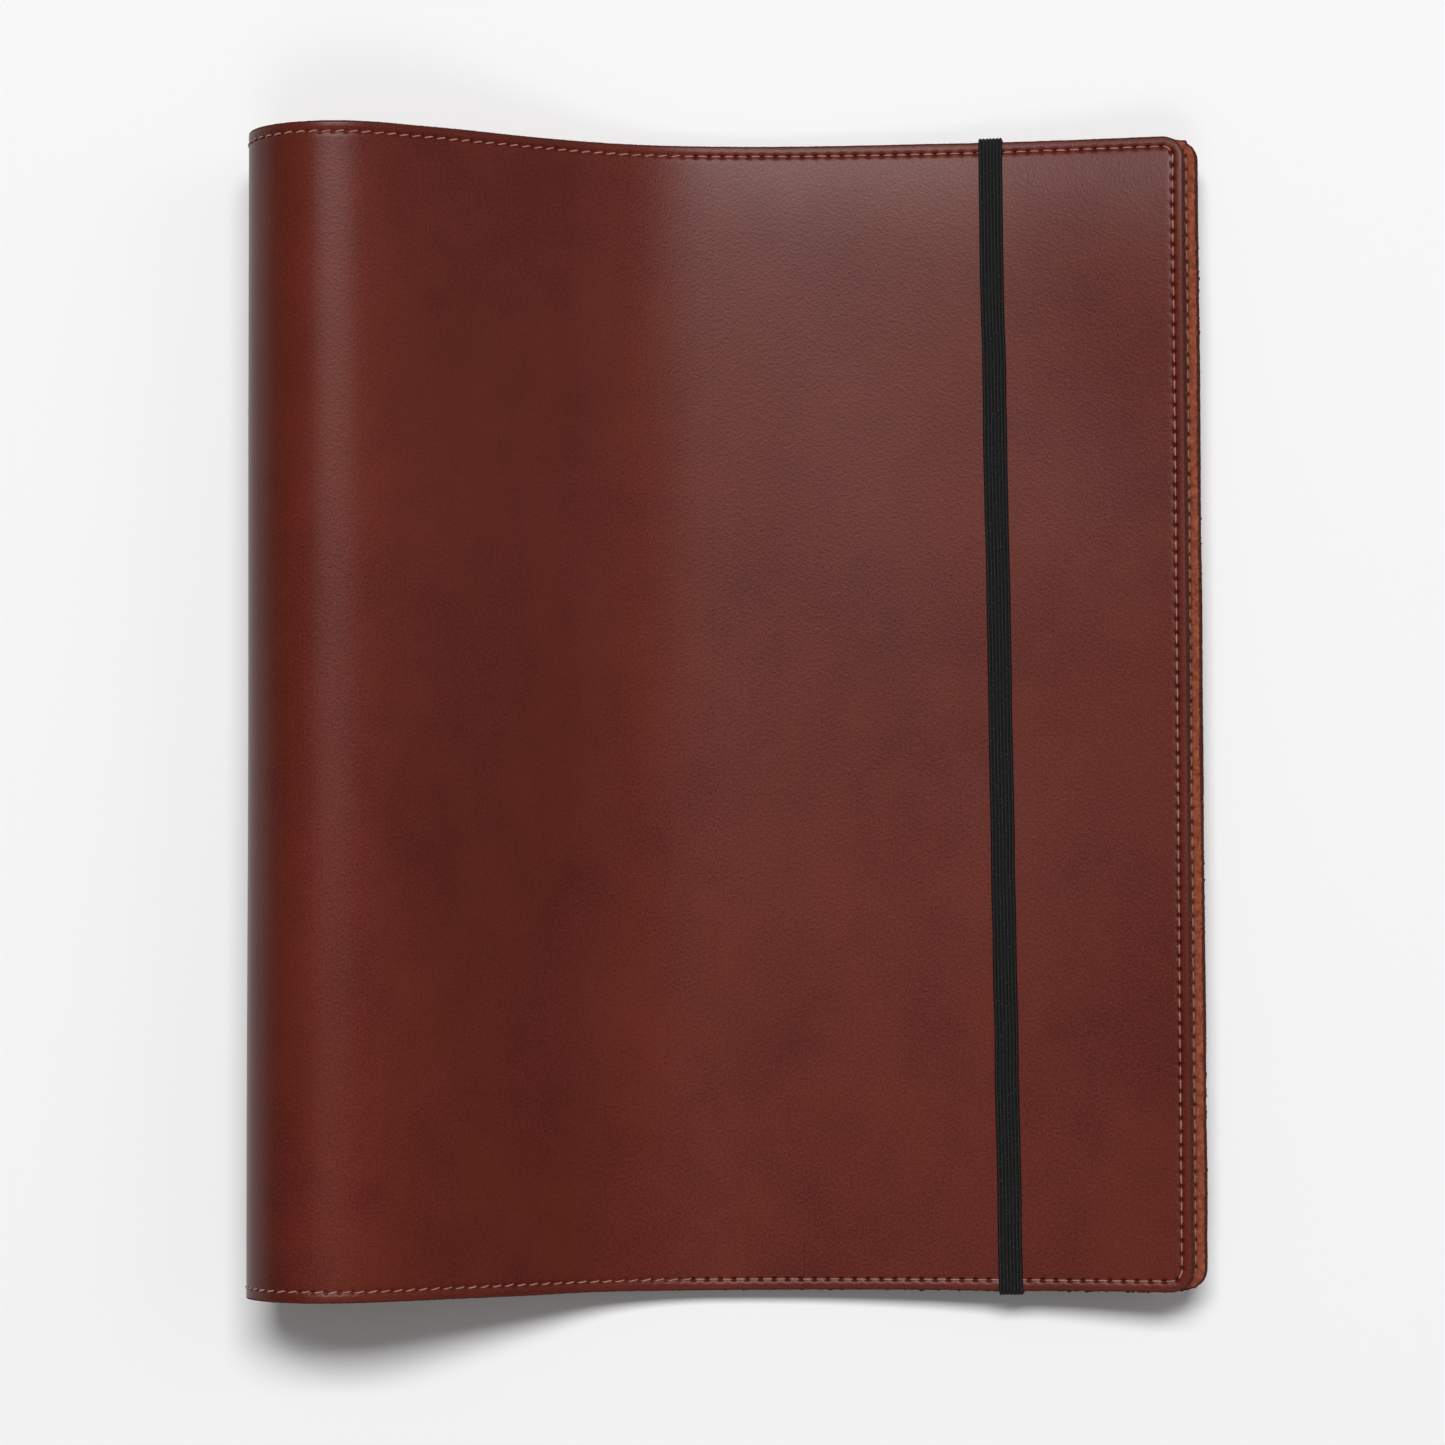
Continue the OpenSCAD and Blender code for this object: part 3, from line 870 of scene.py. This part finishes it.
def elasticMaterial(look):
    m, tree, shader = newMaterial("elasticWeave")
    weave = attribute(tree, "weave").outputs["Vector"]
    split = tree.nodes.new("ShaderNodeSeparateXYZ")
    tree.links.new(weave, split.inputs[0])
    along, across = split.outputs["X"], split.outputs["Y"]
    cord = maths(tree, "COSINE", maths(tree, "MULTIPLY", across, look["ribs"] * 2 * math.pi))
    parity = maths(tree, "MULTIPLY", maths(tree, "FLOOR", maths(tree, "MULTIPLY", across, look["ribs"])), 0.5)
    picks = maths(tree, "ADD", maths(tree, "MULTIPLY", along, 1 / look["pickLength"]), parity)
    pick = maths(tree, "ABSOLUTE", maths(tree, "SINE", maths(tree, "MULTIPLY", picks, math.pi)))
    height = maths(tree, "ADD", maths(tree, "MULTIPLY", pick, 0.30), maths(tree, "MULTIPLY", cord, -0.35))
    fuzz = noise(tree, stretch(tree, weave, (1.0, 6.4, 1.0)), 5.0, 3.0, 0.7)
    height = maths(tree, "ADD", height, maths(tree, "MULTIPLY", fuzz, 0.4))
    # Painted shade in the grooves and a painted highlight on the raised cords and picks: the colour follows
    # the weave's height.
    color = mixColor(tree, remap(tree, height, 0.05, 0.75, 0.0, 1.0), look["color"], look["light"])
    flecks = noise(tree, stretch(tree, weave, (0.8, 16.0, 1.0)), 2.2, 2.0, 0.6)
    color = mixColor(tree, remap(tree, flecks, 0.63, 0.74, 0.0, 0.6), color, look["fleck"])
    tree.links.new(color, shader.inputs["Base Color"])
    shader.inputs["Roughness"].default_value = look["roughness"]
    shader.inputs["Specular IOR Level"].default_value = look["gloss"]
    tree.links.new(bump(tree, height, look["bump"]), shader.inputs["Normal"])
    return m


elasticWeave = elasticMaterial(bandLook)


def arcPoints(cy, cz, r, a0, a1, n):
    t = np.radians(np.linspace(a0, a1, n))
    return np.stack([cy + r * np.cos(t), cz + r * np.sin(t)], 1)


# A ribbed section carried along a loop. The loop goes from the tucked end under the head, up past
# the edge, over the front and down to the other tucked end; the section is two rows of ribs.
def buildBand(look):
    slope = math.asin((look["at"] - valleyX) / cover["frontSweep"])
    bandZ = cover["valleyHeight"] + cover["frontSweep"] * (1 - math.cos(slope))
    sweep = math.asin((look["at"] - cover["backSweepStart"]) / cover["backSweep"])
    floor = cover["backSweep"] * (1 - math.cos(sweep)) + cover["shell"] / math.cos(sweep)
    half = look["thick"] / 2
    tuckZ = (floor - bandZ) * math.cos(slope) + look["tuckAir"] + look["tuckThick"] / 2
    topZ = 2 * look["air"] + half
    wallY = halfY + look["sideAir"] + half
    r = look["bend"] + half
    line = np.concatenate([
        np.stack([np.linspace(halfY - look["tuck"], wallY - r, 12), np.full(12, tuckZ)], 1)[:-1],
        arcPoints(wallY - r, tuckZ + r, r, -90, 0, 9),
        np.stack([np.full(16, wallY), np.linspace(tuckZ + r, topZ - r, 16)], 1)[1:-1],
        arcPoints(wallY - r, topZ - r, r, 0, 90, 9),
        np.stack([np.linspace(wallY - r, 0, 160), np.full(160, topZ)], 1)[1:]])
    line = np.concatenate([line, (line * [-1, 1])[::-1][1:]])
    step = np.gradient(line, axis=0)
    step /= np.linalg.norm(step, axis=1)[:, None]
    normal = np.stack([step[:, 1], -step[:, 0]], 1)
    length = np.concatenate([[0], np.cumsum(np.linalg.norm(np.diff(line, axis=0), axis=1))])
    # the section: upper ribs from left to right, then the lower face back
    n = look["ribs"] * 6 + 1
    f = np.linspace(0, 1, n)
    rib = np.abs(np.sin(math.pi * look["ribs"] * f)) ** 0.7
    ease = np.clip(np.minimum(f, 1 - f) / 0.035, 0, 1) ** 0.5
    x = (f - 0.5) * look["width"]
    upper = (half - look["ribDepth"] * (1 - rib)) * (0.45 + 0.55 * ease)
    secX = np.concatenate([x, x[::-1][1:-1]])
    secF = np.concatenate([f, f[::-1][1:-1]])
    secH = np.concatenate([upper, -upper[::-1][1:-1]])
    pressed = np.clip((halfY - look["tuck"] / 4 - np.abs(line[:, 0])) * 5, 0, 1) * (line[:, 1] < tuckZ + 0.3)
    scale = 1 - pressed * (1 - look["tuckThick"] / look["thick"] * 0.92)
    loose = np.clip((halfY - np.abs(line[:, 0])) / 20, 0, 1)
    wobble = look["wobble"] * smoothNoise(length + 50, 14, 5) * loose
    narrow = 1 + look["narrowing"] * smoothNoise(length + 20, 9, 6)
    py = line[:, 0][:, None] - normal[:, 0][:, None] * secH[None] * scale[:, None]
    pz = line[:, 1][:, None] - normal[:, 1][:, None] * secH[None] * scale[:, None]
    px = secX[None] * narrow[:, None] + wobble[:, None]
    # lean in the plane of the front, then tip to the front's slope
    cosLean, sinLean = math.cos(look["lean"]), math.sin(look["lean"])
    qx, qy = px * cosLean - py * sinLean, px * sinLean + py * cosLean
    past = lineS > valleyEnd - 5
    over = np.interp(look["at"], lineX[past], lineS[past])
    follow = wave(over + qx, np.clip(qy, -halfY, halfY)) * np.clip((pz + 3) / 3, 0, 1)
    pz = pz + follow
    x3 = look["at"] + qx * math.cos(slope) - pz * math.sin(slope)
    z3 = bandZ + qx * math.sin(slope) + pz * math.cos(slope)
    points = np.stack([x3, qy, z3], -1).reshape(-1, 3)
    rows, cols = len(line), len(secX)
    index = np.arange(rows * cols).reshape(rows, cols)
    nxt = np.roll(index, -1, axis=1)
    quads = np.stack([index[:-1], nxt[:-1], nxt[1:], index[1:]], -1).reshape(-1, 4)
    caps = np.stack([index[0, ::-1], index[-1]])
    weave = np.stack([np.broadcast_to(length[:, None], px.shape).ravel(),
                      np.broadcast_to(secF[None], px.shape).ravel(),
                      np.broadcast_to(np.sign(secH)[None], px.shape).ravel()], 1)
    return makeMesh("elasticBand", points, [quads, caps], [0, 0], [False, True], {"weave": weave},
                    (elasticWeave,))


elasticBand = buildBand(bandLook)
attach(elasticBand, "elastic")
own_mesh(elasticBand)
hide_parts("elastic_band")
print("stage: elastic")

# floor, light and camera

studio = {
    "floor": (0.915, 0.915, 0.915), "distance": 6.0,
    "key": {"across": -1.0, "up": 23.5, "size": (3.4, 1.4), "power": 322.0},
    "window": {"across": -4.0, "up": -32.0, "size": (3.2, 1.8), "power": 38.0},
    "side": {"across": 47.0, "up": 18.0, "size": (3.2, 2.6), "power": 20.0},
    "world": 0.10, "target": (0, 0, 0.01), "floorHalf": 4.0, "floorHeight": -0.0005, "floorRoughness": 0.9,
    "sensor": 36, "lens": 110.0, "clip": (0.05, 20),
    "camera": (-0.00168, -0.0605, 1.2), "turn": (0.0488, 0, -0.0038),
}


def areaLight(name, position, target, size, power):
    data = bpy.data.lights.new(name, "AREA")
    data.shape = "RECTANGLE"
    data.size, data.size_y = size
    data.energy = power
    obj = bpy.data.objects.new(name, data)
    obj.location = position
    direction = np.array(target) - np.array(position)
    obj.rotation_mode = "QUATERNION"
    obj.rotation_quaternion = Vector(direction).to_track_quat("-Z", "Y")
    bpy.context.scene.collection.objects.link(obj)


floorMaterial, floorTree, floorShader = newMaterial("paleFloor")
floorShader.inputs["Base Color"].default_value = (*studio["floor"], 1)
floorShader.inputs["Roughness"].default_value = studio["floorRoughness"]
floorShader.inputs["Specular IOR Level"].default_value = 0.0
floorMesh = bpy.data.meshes.new("floor")
far, low = studio["floorHalf"], studio["floorHeight"]
square = [(-far, -far, low), (far, -far, low), (far, far, low), (-far, far, low)]
floorMesh.from_pydata(square, [], [(0, 1, 2, 3)])
floorMesh.materials.append(floorMaterial)
floor = bpy.data.objects.new("floor", floorMesh)
bpy.context.scene.collection.objects.link(floor)

for name in ("key", "window", "side"):
    lamp = studio[name]
    tipX, tipY = math.tan(math.radians(lamp["across"])), math.tan(math.radians(lamp["up"]))
    away = studio["distance"] / math.sqrt(1 + tipX * tipX + tipY * tipY)
    areaLight(name + "Light", (tipX * away, tipY * away, away), studio["target"], lamp["size"],
              lamp["power"])
world = bpy.data.worlds.new("surroundings")
world.use_nodes = True
world.node_tree.nodes["Background"].inputs["Color"].default_value = (1, 1, 1, 1)
world.node_tree.nodes["Background"].inputs["Strength"].default_value = studio["world"]
bpy.context.scene.world = world
bpy.context.scene.view_settings.view_transform = "Standard"
bpy.context.scene.view_settings.look = "None"

cameraData = bpy.data.cameras.new("camera")
cameraData.sensor_width = studio["sensor"]
cameraData.lens = studio["lens"]
cameraData.clip_start, cameraData.clip_end = studio["clip"]
camera = bpy.data.objects.new("camera", cameraData)
camera.location = studio["camera"]
camera.rotation_euler = studio["turn"]
bpy.context.scene.collection.objects.link(camera)
bpy.context.scene.camera = camera
print("stage: studio")
